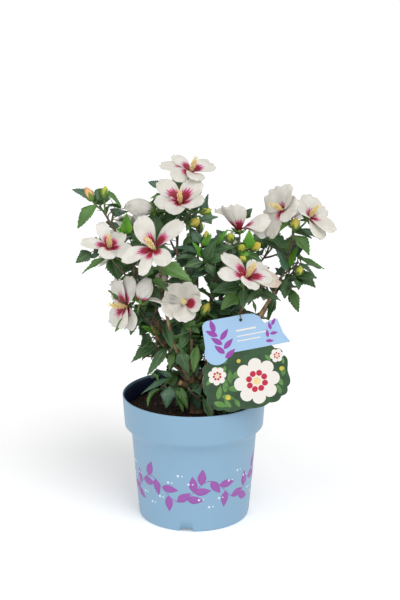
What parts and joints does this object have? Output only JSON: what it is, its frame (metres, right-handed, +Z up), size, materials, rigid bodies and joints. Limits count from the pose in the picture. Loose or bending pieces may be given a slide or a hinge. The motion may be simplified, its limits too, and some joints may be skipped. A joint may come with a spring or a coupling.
{
  "type": "flowering hibiscus shrub in a nursery pot",
  "caption": "Young many-stemmed hibiscus shrub in bloom, standing in a round soil-filled nursery pot with a deep lip, with a blank hang label.",
  "frame": {"origin": "centre of the pot's flat underside, on the pot's axis", "axes": "+Z up along the pot's axis; -Y is the front, where the label hangs; +X is to the right seen from the front"},
  "size_m": [0.3353, 0.2655, 0.4851],
  "materials": {
    "pot_plastic": "light blue injection-moulded plastic, satin",
    "peat": "dark crumbly peat with bark bits",
    "bark": "thin brown bark",
    "foliage": "dark green leaves, white blooms with a crimson eye",
    "label_card": "coated card, satin",
    "tie_wire": "thin dark tie"
  },
  "bodies": {
    "root": {"pot": "pot_plastic", "soil": "peat", "trunk": "bark", "pruned_stub": "bark", "bough_left": "bark", "bough_left_front": "bark", "bough_left_low": "bark", "bough_low_left": "bark", "bough_front": "bark", "bough_middle": "bark", "bough_top": "bark", "bough_inner": "bark", "bough_centre": "bark", "bough_right": "bark", "bough_right_low": "bark", "bough_front_right": "bark", "bough_back_left": "bark", "bough_back": "bark", "bough_back_right": "bark", "bough_back_low": "bark", "far_left_spray": "foliage", "left_spray": "foliage", "lower_left_spray": "foliage", "low_left_spray": "foliage", "front_spray": "foliage", "middle_spray": "foliage", "top_spray": "foliage", "inner_spray": "foliage", "centre_spray": "foliage", "right_spray": "foliage", "right_low_spray": "foliage", "front_right_spray": "foliage", "basal_left_spray": "foliage", "basal_front_spray": "foliage", "basal_right_spray": "foliage", "back_left_spray": "foliage", "back_spray": "foliage", "back_right_spray": "foliage", "back_low_spray": "foliage", "plant_label": "label_card", "label_tie": "tie_wire"}
  },
  "joints": []
}
